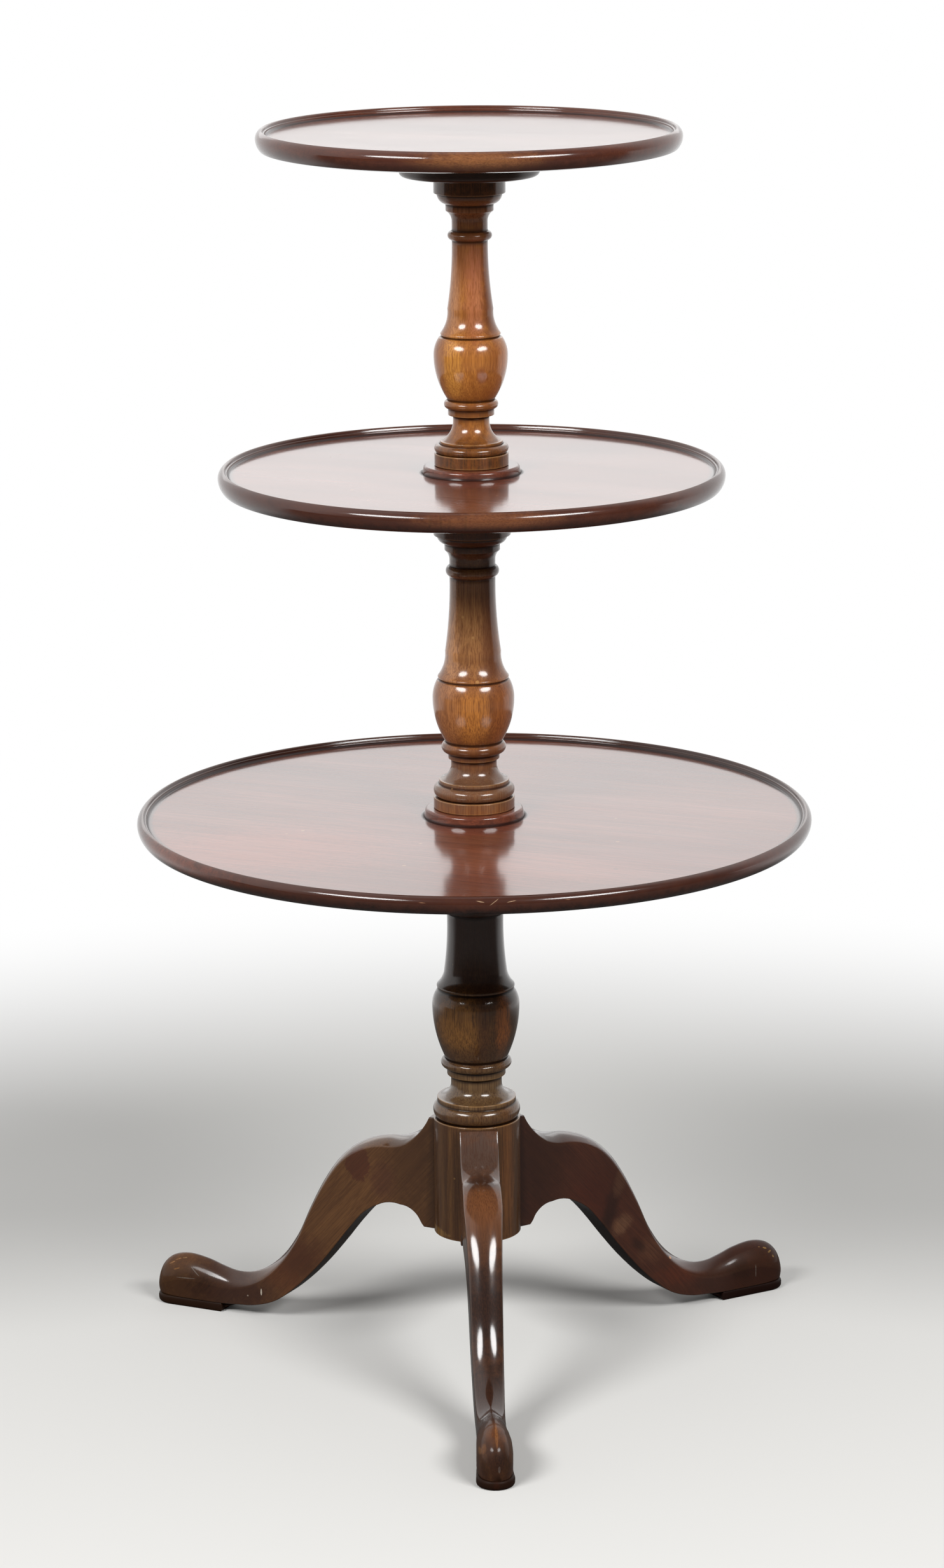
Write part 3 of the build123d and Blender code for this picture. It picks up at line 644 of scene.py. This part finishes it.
def polished_mahogany(name, tones, wood, heading=0.0, grain=(0, 0, 0), pith=(0, 0.15, 0.25), seed=0.0, gloss=0.15,
                      contrast=0.5, worn=0.5, wave=0.35, rim=0.0, marks=()):
    """Mahogany, planed or turned and French polished: soft streaks and fine dark pores deep under a clear gloss.

    heading turns the piece's plan back to +X and grain lays its board along X. rim is how dark a tray's moulded rim
    has stayed. A mark is a place, radii, a tilt, a colour, a strength and a softness: a stain, chip, bruise or patch of
    tone that the table shows, and in some places painted shade and painted light.
    """
    light, dark, bare = getattr(tones, wood), getattr(tones, wood + "_dark"), tones.bare
    material, add = new_material(name)
    place = add("TexCoord", out="Object")
    local = add("Mapping", {"Vector": place, "Rotation": (0, 0, -radians(heading))})
    board = add("Mapping", {"Vector": local, "Rotation": grain})

    # Patterns along the board: scale per metre along and across the grain, step of the seed, detail and roughness
    patterns = {}
    for pattern, along, across, step, detail, roughness in (
        # Cloudy change of colour, 250 mm along the grain and 60 mm across
        ("cloud", 4, 16, 0, 2, 0.5),
        # Ribbon figure, streaks 200 mm long and 7 mm wide
        ("ribbon", 5, 140, 1.3, 3, 0.6),
        # Slow bends of the growth layers, 330 mm long and 110 mm wide
        ("bend", 3, 9, 3.7, 2, 0.5),
        # Fibres 1 mm wide, drawn coarser than the real ones so that they show
        ("fibre", 22, 1000, 0, 2, 0.7),
        # Pores, dark dashes 9 mm long and 0.6 mm wide, coarser than the real ones so that they show
        ("pores", 110, 1700, 0, 1, 0.5),
    ):
        stretched = add("Mapping", {"Vector": board, "Scale": (along, across, across)})
        patterns[pattern] = add("TexNoise", {
            "Vector": stretched, "W": seed + step, "Scale": 1.0, "Detail": detail, "Roughness": roughness},
            noise_dimensions="4D")
    # Growth layers 6 mm apart round the pith
    bend = add("VectorMath", {0: patterns["bend"].node.outputs["Color"], "Scale": 0.03}, operation="SCALE")
    bent = add("VectorMath", (board, bend), operation="ADD")
    section = add("VectorMath", (bent, (0, 1, 1)), operation="MULTIPLY")
    from_pith = add("VectorMath", (section, pith), operation="DISTANCE")
    layers = add("Math", (from_pith, 170.0), operation="MULTIPLY")
    patterns["layer"] = add("TexNoise", {"W": layers, "Scale": 1.0, "Detail": 2.0, "Roughness": 0.6},
                            noise_dimensions="1D")

    # Streaks from 0 light to 1 dark, from the weight of each pattern
    streak, middle, spread = -0.25, 1.325, 0.42 / contrast
    for pattern, weight in (("ribbon", 0.9), ("layer", 0.5), ("cloud", 1.3), ("fibre", 0.45)):
        streak = add("Math", (patterns[pattern], weight, streak), operation="MULTIPLY_ADD")
    streak = add("MapRange", (streak, middle - spread, middle + spread), interpolation_type="SMOOTHSTEP")
    black = [c * 0.25 for c in dark]
    # Colours over the main one, from the first to the last, each with the share that it covers
    covers = [(streak, dark)]
    if rim:
        # The moulded rim of a tray has kept a darker polish than its dish
        kept = add("Math", (add("Attribute", out="Fac", attribute_name="rim"), rim), operation="MULTIPLY")
        # Dark dents 7 mm long and 2 mm wide in a quarter of the cells
        cells = add("Mapping", {"Vector": board, "Scale": (14, 60, 60)})
        dent = add("TexVoronoi", {"Vector": cells, "W": seed, "Scale": 1.0}, voronoi_dimensions="4D")
        chosen = add("Math", (dent.node.outputs["Color"], 0.6), operation="GREATER_THAN")
        dent = add("MapRange", (dent, 0.12, 0.06, 0, 0.7))
        dent = add("Math", (dent, chosen), operation="MULTIPLY")
        covers += [(kept, from_hex("#1e1009")), (dent, black)]
    # Knocks 1 to 8 mm long roughen the edges of chips, stains and the painted shade and light marks
    knock = add("TexNoise", {"Vector": place, "W": seed, "Scale": 130.0, "Detail": 5.0, "Roughness": 0.75},
                noise_dimensions="4D")
    for x, y, z, wide, deep, high, tilt, stain_and_painted_light, strength, soft in marks:
        away = add("Mapping", {"Vector": local, "Location": (x * MM, y * MM, z * MM),
                               "Rotation": (0, radians(tilt), 0), "Scale": (wide * MM, deep * MM, high * MM)},
                   vector_type="TEXTURE")
        away = add("VectorMath", (away,), operation="LENGTH")
        # Its edge lies about one radius out, moved by the knocks and blurred by its softness
        away = add("Math", (knock, 1.6, away), operation="MULTIPLY_ADD")
        stain_and_painted_light_share = add("MapRange", (away, 1.75 + soft * 0.6, 1.7 - soft * 0.6, 0, strength),
                      interpolation_type="SMOOTHSTEP")
        covers.append((stain_and_painted_light_share, from_hex(stain_and_painted_light)))
    line = add("MapRange", (patterns["fibre"], 0.42, 0.7, 0, 1.4 * contrast))
    pore = add("MapRange", (patterns["pores"], 0.6, 0.72, 0, 0.6 * contrast))
    # Old wax and dust darken and dull the hollows; the same darkening paints shade on a leg's sole and on the web under
    # its foot
    hollow = add("Attribute", out="Fac", attribute_name="hollow")
    grime_and_painted_shade = add("MapRange", (hollow, 0, 0.6, 0, 0.9))
    gloss_left = add("MapRange", (hollow, 0.3, 1, 1, 0))
    # Shoes and brooms have dulled the feet
    dull = add("Attribute", out="Fac", attribute_name="dull")
    gloss_left = add("Math", (gloss_left, dull), operation="SUBTRACT", use_clamp=True)
    # Handling has rubbed the polish on the arrises thin and chipped it off
    arris = add("Attribute", out="Fac", attribute_name="arris")
    rubbed = add("MapRange", (arris, 0.5, 1, 0, worn ** 2))
    chip = add("Math", (arris, 0.25 * worn, -0.75), operation="MULTIPLY_ADD")
    chip = add("Math", (knock, chip), operation="ADD")
    chip = add("MapRange", (chip, 0, 0.05))
    # Nicks 1 to 2 mm across, scattered 20 mm apart
    nick = add("TexVoronoi", {"Vector": place, "W": seed, "Scale": 50.0}, voronoi_dimensions="4D")
    nick = add("MapRange", (nick, 0.11, 0.07, 0, worn))
    chip = add("Math", (chip, nick), operation="MAXIMUM")
    covers += [(line, dark), (pore, black), (grime_and_painted_shade, black), (rubbed, bare), (chip, bare)]
    colour = rgba(light)
    for share, over in covers:
        colour = add("Mix", {"Factor": share, "A": colour, "B": rgba(over)}, data_type="RGBA")
    # Hand polish leaves the surface a little wavy, 30 mm from crest to crest
    ripple = add("TexNoise", {"Vector": place, "W": seed, "Scale": 32.0, "Detail": 2.0}, noise_dimensions="4D")
    grain_bump = add("Bump", {"Height": patterns["pores"], "Strength": 0.25, "Distance": 0.0002})
    coat_bump = add("Bump", {"Height": ripple, "Strength": wave, "Distance": 0.0006})
    coat_bump = add("Bump", {"Height": patterns["pores"], "Normal": coat_bump, "Strength": 0.06, "Distance": 0.0001})
    shader = add("BsdfPrincipled", {
        "Base Color": colour, "Roughness": add("MapRange", (patterns["cloud"], 0, 1, 0.35, 0.6)),
        "Specular IOR Level": 0.1, "Coat Weight": gloss_left, "Coat Roughness": gloss, "Coat IOR": 1.5,
        "Normal": grain_bump, "Coat Normal": coat_bump})
    add("OutputMaterial", {"Surface": shader})
    return material


def blackened_iron(name, colour):
    """Wrought iron, forged and blackened: dull, uneven and slightly rusty."""
    material, add = new_material(name)
    # Forge scale and rust in spots 6 mm across
    scale = add("TexNoise", {"Vector": add("TexCoord", out="Object"), "Scale": 160.0, "Detail": 5.0})
    rust = add("MapRange", (scale, 0.45, 0.75))
    colour = add("Mix", {"Factor": rust, "A": rgba(colour), "B": rgba(from_hex("#5a3a28"))}, data_type="RGBA")
    shader = add("BsdfPrincipled", {
        "Base Color": colour, "Metallic": 1.0,
        "Roughness": add("MapRange", (scale, 0, 1, 0.45, 0.8)),
        "Normal": add("Bump", {"Height": scale, "Strength": 0.3, "Distance": 0.0003})})
    add("OutputMaterial", {"Surface": shader})
    return material


class TABLE_OT_column(bpy.types.Operator):
    """Turn the three sections of the column"""
    bl_idname = "table.column"
    bl_label = "Column"

    def execute(self, context):
        tones, sizes = context.scene.table_tones, context.scene.table_sizes
        for place, (node, above, tray) in enumerate((
            ("pillar", "middle_column", "lower"), ("middle_column", "upper_column", "middle"),
            ("upper_column", None, "top"),
        )):
            foot, top = level(node, 0), level(tray + "_bearing_block", 0)
            journal = TRAYS[tray][2]
            moves = section_moves(place, foot, top)
            if place:
                socket, depth = TENON_RADII[place - 1] + TENON_FIT, foot + TENON_LENGTH + 0.5
                moves = [(0, depth, 0), (socket, depth, 0), (socket, foot, 0)] + moves
            else:
                moves = [(0, foot, 0)] + moves
            rest = level(above, 0) if above else level(node, 1)
            moves += [(journal, top, 0), (journal, rest, 0)]
            if above:
                tenon, rest = TENON_RADII[place], rest + TENON_LENGTH
                moves += [(tenon, rest - TENON_LENGTH, 0), (tenon, rest, 0)]
            moves.append((0, rest, 0))
            piece = turned("turned_" + node, moves, sizes.turned_sides, sizes.turned_arris)
            if node == "pillar":
                cut(piece, prism("slots", DOVETAIL_SLOT, foot - 1, foot + DOVETAIL_HEIGHT + 0.1, LEG_PLACES.values()))
            name = SECTIONS[place]
            material = polished_mahogany(
                "french_polished_turned_mahogany_" + name, tones, name, grain=(0, radians(90), 0), seed=2.0 + place,
                gloss=0.15, contrast=0.6, marks=COLUMN_MARKS[name])
            place_piece(piece, material, node, "stand")
        return {"FINISHED"}


class TABLE_OT_trays(bpy.types.Operator):
    """Turn the trays and the blocks under them"""
    bl_idname = "table.trays"
    bl_label = "Trays"

    def execute(self, context):
        tones, sizes = context.scene.table_tones, context.scene.table_sizes
        for place, (name, (radius, rim, journal, collar, collar_height)) in enumerate(TRAYS.items()):
            bore, foot = journal + JOURNAL_FIT, level(name + "_tray", 0)
            moves = tray_moves(foot, radius, rim, bore if collar_height else 0.0, collar, collar_height)
            piece = turned("turned_" + name + "_tray", moves, sizes.tray_sides, 0.25, closed=collar_height > 0, step=4,
                           rim_from=radius - RIM_WIDTH - 0.5)
            material = polished_mahogany(
                "french_polished_mahogany_" + name + "_tray", tones, "tray", grain=(0, 0, radians(25)),
                pith=(0, 0.1, 0.4), seed=10.0 + place, gloss=0.12, contrast=0.4, worn=0.3, wave=0.15,
                rim=RIM_TONES[place], marks=TRAY_MARKS[name])
            place_piece(piece, material, name + "_tray", name + "_tier")
            block = name + "_bearing_block"
            under = level(block, 0)
            moves = [(bore, under, 0), (BLOCK_RADIUS - BLOCK_ROUND, under, 0),
                     (BLOCK_RADIUS, under + BLOCK_ROUND, QUARTER), (BLOCK_RADIUS, foot, 0), (bore, foot, 0)]
            piece = turned("turned_" + block, moves, sizes.turned_sides, 0.4, closed=True)
            cut(piece, screw_set("holes", SCREW_LENGTH, under, SCREW_CIRCLE, BLOCK_SCREW_TURNS, 0.05, 0))
            material = polished_mahogany("waxed_mahogany_" + block, tones, "block", seed=20.0 + place, gloss=0.3)
            place_piece(piece, material, block, name + "_tier")
        return {"FINISHED"}


def leg_rows():
    """Sections of a leg from the pillar to the toe: sole and crown points, width, rise, roundness and softness."""
    def side(moves, count):
        points = traced([(x * LEG_REACH, z * LEG_TOP, bow) for x, z, bow in moves], False, 1.5)
        lengths = [0]
        for before, here in zip(points, points[1:]):
            lengths.append(lengths[-1] + dist(before, here))
        spread = []
        for place in range(count):
            goal = lengths[-1] * place / count
            after = next(index for index, length in enumerate(lengths) if length > goal)
            share = (goal - lengths[after - 1]) / (lengths[after] - lengths[after - 1])
            spread.append([a + share * (b - a) for a, b in zip(points[after - 1], points[after])])
        return spread

    rows = []
    for place, (sole, crown) in enumerate(zip(side(ROOT_SOLE, ROOT_ROWS), side(ROOT_CROWN, ROOT_ROWS))):
        # The crown is flat at the pillar and rises over the first rows
        rise = (0.01 + 0.15 * min(1, place / 15)) * LEG_WIDTH
        rows.append((*sole, *crown, LEG_WIDTH, rise, 2.5 - 0.01 * place, 0.035 * LEG_WIDTH))
    stations = [(a * LEG_REACH, b * LEG_TOP, c * LEG_REACH, d * LEG_TOP, w * LEG_WIDTH, rise * LEG_WIDTH, p,
                 soft * LEG_WIDTH) for a, b, c, d, w, rise, p, soft in LEG_STATIONS]
    # Smooth curve through the stations, which the root's rows lead into
    path = [rows[-10]] + stations + [stations[-1]]
    for p0, p1, p2, p3 in zip(path, path[1:], path[2:], path[3:]):
        for place in range(STATION_STEPS):
            t = place / STATION_STEPS
            rows.append(tuple(
                b + 0.5 * t * (c - a + t * (2 * a - 5 * b + 4 * c - d + t * (3 * (b - c) + d - a)))
                for a, b, c, d in zip(p0, p1, p2, p3)))
    rows.append(stations[-1])
    return rows


def leg_ring(row, edge):
    """Points round one section of a leg as (x, y, z, arris, hollow); its sole is left dull, and darkened as painted
    shade.
    """
    sole_x, sole_z, crown_x, crown_z, width, rise, roundness, soft = row
    depth = dist((sole_x, sole_z), (crown_x, crown_z))
    out = ((crown_x - sole_x) / depth, (crown_z - sole_z) / depth)
    half, side = width / 2, depth - rise
    soft, edge = min(soft, half * 0.45, side * 0.45), min(edge, half * 0.3, side * 0.3)

    def crown(u):
        return side + rise * (1 - abs(u / half) ** roundness)

    def corner(*points):
        return [(u, v, 1.0) for u, v in eased(*points)]

    right = [(half * share, 0.0, 0.0) for share in (0, 0.3, 0.6, 0.8)]
    right += corner((half - edge, 0), (half, 0), (half, edge))
    right += [(half, edge + (side - edge - soft) * share, 0.0 if 0.1 < share < 0.9 else 0.35)
              for share in (0.06, 0.2, 0.35, 0.5, 0.65, 0.8, 0.94)]
    right += corner((half, side - soft), (half, side), (half - soft, crown(half - soft)))
    right += [((half - soft) * share, crown((half - soft) * share), 0.0) for share in (
        0.95, 0.88, 0.8, 0.7, 0.6, 0.5, 0.4, 0.3, 0.2, 0.12, 0.06)]
    ridge = max(0.0, min(1.0, (2 - roundness) * 2))
    ring = right + [(0.0, depth, ridge)] + [(-u, v, on_arris) for u, v, on_arris in reversed(right[1:])]
    # A sole point's hollow share of 0.8 dulls its polish and paints shade on it
    return [(sole_x + out[0] * v, u, sole_z + out[1] * v, on_arris, 0.8 if v == 0 else 0.0)
            for u, v, on_arris in ring]


def leg_mesh(name, place, soft):
    """Cabriole leg with its dovetail and its pad, turned from +X to its place in degrees."""
    verts, faces, arris, hollow = [], [], [], []

    def loft(rings):
        first, count = len(verts), len(rings[0])
        for ring in rings:
            verts.extend((x * MM, y * MM, z * MM) for x, y, z, *_ in ring)
            arris.extend(point[3] for point in ring)
            hollow.extend(point[4] for point in ring)
        for place in range(len(rings) - 1):
            faces.extend(quads(first + place * count, first + (place + 1) * count, count))
        faces.append(tuple(first + side for side in reversed(range(count))))
        faces.append(tuple(first + (len(rings) - 1) * count + side for side in range(count)))

    rings = [leg_ring(row, soft) for row in leg_rows()]
    wall = SECTION_RADII["plinth"][0] + 0.1
    start = [(sqrt(wall ** 2 - y ** 2), y, z, 0.6, 0.4) for _, y, z, *_ in rings[0]]
    loft([start] + rings)
    # Dovetail, flush in its slot in the pillar
    foot = level("pillar", 0)
    loft([[(x, y, foot + height, 0.0, 0.3) for x, y in DOVETAIL] for height in (0, DOVETAIL_HEIGHT)])
    # Pad, square at its inner end and round at the toe
    half, inner_half, top = PAD_WIDTH / 2, PAD_INNER_WIDTH / 2, PAD_HEIGHT
    inner, centre = LEG_REACH - PAD_LENGTH, LEG_REACH - half
    plan = [(inner, -inner_half), (inner + 3, -inner_half - 0.15)]
    plan += [(centre + half * sin(radians(turn)), -half * cos(radians(turn))) for turn in range(0, 181, 6)]
    plan += [(inner + 3, inner_half + 0.15), (inner, inner_half)]
    middle = LEG_REACH - PAD_WIDTH

    def inset(by, height, on_arris):
        ring = []
        for x, y in plan:
            away = hypot(x - middle, y)
            ring.append((x - (x - middle) / away * by, y - y / away * by, height, on_arris, 0.7))
        return ring

    loft([inset(*edge) for edge in (
        (3, 0, 0), (1.8, 0.2, 0), (0.8, 0.9, 0), (0.2, 2, 0), (0, 3.4, 0), (0, 5.4, 0), (0.3, 6.8, 0.2),
        (0.9, 7.8, 0.5), (1.8, 8.4, 0.4), (3, top, 0))])
    # Web between the pad's inner end and the sole; its hollow share dulls it and paints shade on it
    loft([[(inner + 4, y, 2.0, 0.0, 0.8), (inner + 4, y, top, 0.0, 0.8), (inner - 17, y, 10.3, 0.0, 0.8)]
          for y in (-9, 9)])
    mesh = bpy.data.meshes.new(name)
    mesh.from_pydata(verts, [], faces)
    store(mesh, "arris", arris)
    store(mesh, "hollow", hollow)
    # The polish dulls from the ankle to the toe
    ankle, per_mm, most = 262, 0.03, 0.75
    store(mesh, "dull", [max(0, min(most, per_mm * (x / MM - ankle))) for x, _, _ in verts])
    shape = bmesh.new()
    shape.from_mesh(mesh)
    bmesh.ops.recalc_face_normals(shape, faces=shape.faces)
    shape.to_mesh(mesh)
    shape.free()
    mesh.transform(Matrix.Rotation(radians(place), 4, "Z"))
    finish_mesh(mesh, 50)
    return mesh


class TABLE_OT_legs(bpy.types.Operator):
    """Carve the cabriole legs"""
    bl_idname = "table.legs"
    bl_label = "Legs"

    def execute(self, context):
        tones, sizes = context.scene.table_tones, context.scene.table_sizes
        for place, (node, turn) in enumerate(LEG_PLACES.items()):
            piece = show("carved_" + node, leg_mesh("carved_" + node, turn, sizes.leg_arris))
            material = polished_mahogany(
                "french_polished_mahogany_" + node, tones, node, heading=turn, grain=(0, radians(LEG_GRAIN), 0),
                seed=30.0 + place, contrast=0.45, worn=0.1, gloss=0.12, marks=LEG_MARKS[node] + FOOT_MARKS)
            place_piece(piece, material, node, "stand")
        return {"FINISHED"}


def screw_set(name, length, head_at, circle, turns, grow, slot_width):
    """Countersunk screws round a circle, pointing up from their heads.

    turns are their places in degrees, None for one at the centre. grow makes them thicker, to cut their holes with,
    and a slot width of 0 leaves them plain.
    """
    head, shank, neck, top = 4.2 + grow, 2.2 + grow, head_at + 2.0, head_at + length + grow
    moves = [(0, head_at - grow, 0), (head, head_at - grow, 0), (shank, neck, 0), (shank, top - shank, 0), (0, top, 0)]
    screw = turned(name, moves, 32, 0.01 if grow else 0.15)
    if slot_width:
        half, reach, depth = slot_width / 2, 6, 1.1
        corners = [(-reach, -half), (reach, -half), (reach, half), (-reach, half)]
        cut(screw, prism("slot", corners, head_at - 1, head_at + depth, [0]))
    joined = bmesh.new()
    for place, turn in enumerate(turns):
        copy = screw.data.copy()
        reach, angle = 0 if turn is None else circle, radians(turn or 0)
        # Driven by hand, so that no two slots line up
        spin = Matrix.Rotation(radians(40 + 67 * place), 4, "Z")
        copy.transform(Matrix.Translation((reach * cos(angle) * MM, reach * sin(angle) * MM, 0)) @ spin)
        joined.from_mesh(copy)
    mesh = bpy.data.meshes.new(name)
    joined.to_mesh(mesh)
    joined.free()
    bpy.data.objects.remove(screw)
    finish_mesh(mesh)
    return show(name, mesh)


class TABLE_OT_ironwork(bpy.types.Operator):
    """Make the screws and finish the iron brace"""
    bl_idname = "table.ironwork"
    bl_label = "Ironwork"

    def execute(self, context):
        sizes = context.scene.table_sizes
        iron = blackened_iron("blackened_wrought_iron", context.scene.table_tones.iron)
        for name in TRAYS:
            node = name + "_block_screws"
            screws = screw_set("slotted_" + node, SCREW_LENGTH, level(node, 0), SCREW_CIRCLE, BLOCK_SCREW_TURNS,
                               0, sizes.slot_width)
            place_piece(screws, iron, node, name + "_tier")
        screws = screw_set("slotted_brace_screws", BRACE_SCREW_LENGTH, level("brace_screws", 0), BRACE_SCREW_CIRCLE,
                           (None, *LEG_PLACES.values()), 0, sizes.slot_width)
        place_piece(screws, iron, "brace_screws", "stand")
        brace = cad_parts["tripod_brace"]
        brace.data.materials.clear()
        brace.data.materials.append(iron)
        return {"FINISHED"}


# Studio

def soft_lamp(name, azimuth, elevation, distance, size, power, target=(0, 0, 0.65), shown=True):
    """Soft lamp that faces a target; azimuth is measured from the front leg, to the right."""
    light = bpy.data.lights.new(name, "AREA")
    light.shape = "RECTANGLE" if size[0] > 4 else "ELLIPSE"
    light.size, light.size_y = size
    light.energy = power
    lamp = bpy.data.objects.new(name, light)
    flat = distance * cos(elevation)
    lamp.location = Vector(target) + Vector((flat * sin(azimuth), -flat * cos(azimuth), distance * sin(elevation)))
    lamp.rotation_euler = (Vector(target) - lamp.location).to_track_quat("-Z", "Y").to_euler()
    lamp.visible_camera = shown
    bpy.context.scene.collection.objects.link(lamp)
    return lamp


def studio_floor(colour, fade_from=0.75, fade_to=1.6):
    """Pale floor that runs out into a white background."""
    bpy.ops.mesh.primitive_plane_add(size=60)
    floor = bpy.context.active_object
    floor.name = "studio_floor"
    material, add = new_material("matt_studio_floor")
    place = add("TexCoord", out="Object")
    away = add("VectorMath", (place,), operation="LENGTH")
    fade = add("MapRange", (away, fade_from, fade_to), interpolation_type="SMOOTHSTEP")
    behind = add("MapRange", (add("SeparateXYZ", (place,), out="Y"), -0.2, 0.6), interpolation_type="SMOOTHSTEP")
    path = add("LightPath").node.outputs
    seen = add("Math", (path["Is Glossy Ray"], path["Is Transmission Ray"]), operation="MAXIMUM")
    seen = add("Math", (seen, behind), operation="MULTIPLY")
    seen = add("Math", (seen, path["Is Camera Ray"]), operation="MAXIMUM")
    shown = add("Mix", {"Factor": path["Is Camera Ray"], "A": rgba(c * 0.2 for c in colour), "B": rgba(colour)},
                data_type="RGBA")
    matt = add("BsdfDiffuse", {"Color": shown})
    white = add("Emission", {"Color": (1, 1, 1, 1), "Strength": 1.0})
    share = add("Math", (seen, fade), operation="MULTIPLY")
    add("OutputMaterial", {"Surface": add("MixShader", {"Fac": share, 1: matt, 2: white})})
    floor.data.materials.append(material)


def studio_world(strength, front):
    """Even soft light; the camera sees it as white, and polish sees white behind the table and dimmer in front."""
    world = bpy.data.worlds.new("studio")
    bpy.context.scene.world = world
    world.use_nodes = True
    world.node_tree.nodes.clear()
    add = partial(add_node, world.node_tree)
    path = add("LightPath").node.outputs
    heading = add("VectorMath", (add("TexCoord", out="Generated"), (-0.3, 0.95, 0)), operation="DOT_PRODUCT")
    mirrored = add("MapRange", (heading, -0.45, 0.25, front, 1.0),
                   interpolation_type="SMOOTHSTEP")
    glossy = add("Math", (path["Is Glossy Ray"], path["Is Transmission Ray"]), operation="MAXIMUM")
    seen = add("Mix", {"Factor": glossy, "A": strength, "B": mirrored})
    seen = add("Mix", {"Factor": path["Is Camera Ray"], "A": seen, "B": 1.0})
    add("OutputWorld", {"Surface": add("Background", {"Color": (1, 1, 1, 1), "Strength": seen})})


class TABLE_OT_studio(bpy.types.Operator):
    """Set the camera, the soft lamps and the pale floor"""
    bl_idname = "table.studio"
    bl_label = "Studio"

    def execute(self, context):
        view = context.scene.table_view
        data = bpy.data.cameras.new("camera")
        data.sensor_fit = "VERTICAL"
        data.sensor_height = 36.0
        data.lens = view.lens
        camera = bpy.data.objects.new("camera", data)
        context.scene.collection.objects.link(camera)
        spot = Vector((view.distance * sin(view.azimuth), -view.distance * cos(view.azimuth), view.height))
        heading = view.pan - view.azimuth
        ahead = Vector((sin(heading) * cos(view.pitch), cos(heading) * cos(view.pitch), -sin(view.pitch)))
        right = Vector((cos(heading), -sin(heading), 0))
        up = right.cross(ahead)
        tilted_right = right * cos(view.roll) + up * sin(view.roll)
        tilted_up = up * cos(view.roll) - right * sin(view.roll)
        turn = Matrix((tilted_right, tilted_up, -ahead)).transposed()
        camera.matrix_world = Matrix.Translation(spot) @ turn.to_4x4()
        context.scene.camera = camera

        studio_floor(view.floor)
        studio_world(strength=0.25, front=0.05)
        for name, azimuth in (("left_lamp", -44), ("right_lamp", 38)):
            soft_lamp(name, radians(azimuth), radians(32.5), distance=4.2, size=(2.2, 1.0), power=125)
        soft_lamp("back_lamp", radians(180), radians(18.3), distance=9.5, size=(8.0, 2.9), power=52, shown=False)
        context.scene.view_settings.view_transform = "Standard"
        return {"FINISHED"}


class TABLE_PT_panel(bpy.types.Panel):
    """Colours, camera and steps of the table"""
    bl_label = "Dumbwaiter table"
    bl_space_type = "VIEW_3D"
    bl_region_type = "UI"
    bl_category = "Table"

    def draw(self, context):
        for group in (context.scene.table_tones, context.scene.table_sizes, context.scene.table_view):
            box = self.layout.box()
            for name in group.__annotations__:
                box.prop(group, name)
        for step in STEPS:
            self.layout.operator(step.bl_idname)


STEPS = (TABLE_OT_column, TABLE_OT_trays, TABLE_OT_legs, TABLE_OT_ironwork, TABLE_OT_studio)
CLASSES = (TableTones, TableSizes, TableView, *STEPS, TABLE_PT_panel)


def register():
    """Register the add-on's classes and the scene's settings."""
    for cls in CLASSES:
        bpy.utils.register_class(cls)
    bpy.types.Scene.table_tones = PointerProperty(type=TableTones)
    bpy.types.Scene.table_sizes = PointerProperty(type=TableSizes)
    bpy.types.Scene.table_view = PointerProperty(type=TableView)


def unregister():
    """Take back what register does."""
    del bpy.types.Scene.table_view
    del bpy.types.Scene.table_sizes
    del bpy.types.Scene.table_tones
    for cls in reversed(CLASSES):
        bpy.utils.unregister_class(cls)


def main():
    """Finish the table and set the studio."""
    register()
    bpy.ops.table.column()
    bpy.ops.table.trays()
    bpy.ops.table.legs()
    bpy.ops.table.ironwork()
    bpy.ops.table.studio()


if __name__ == "__main__":
    main()
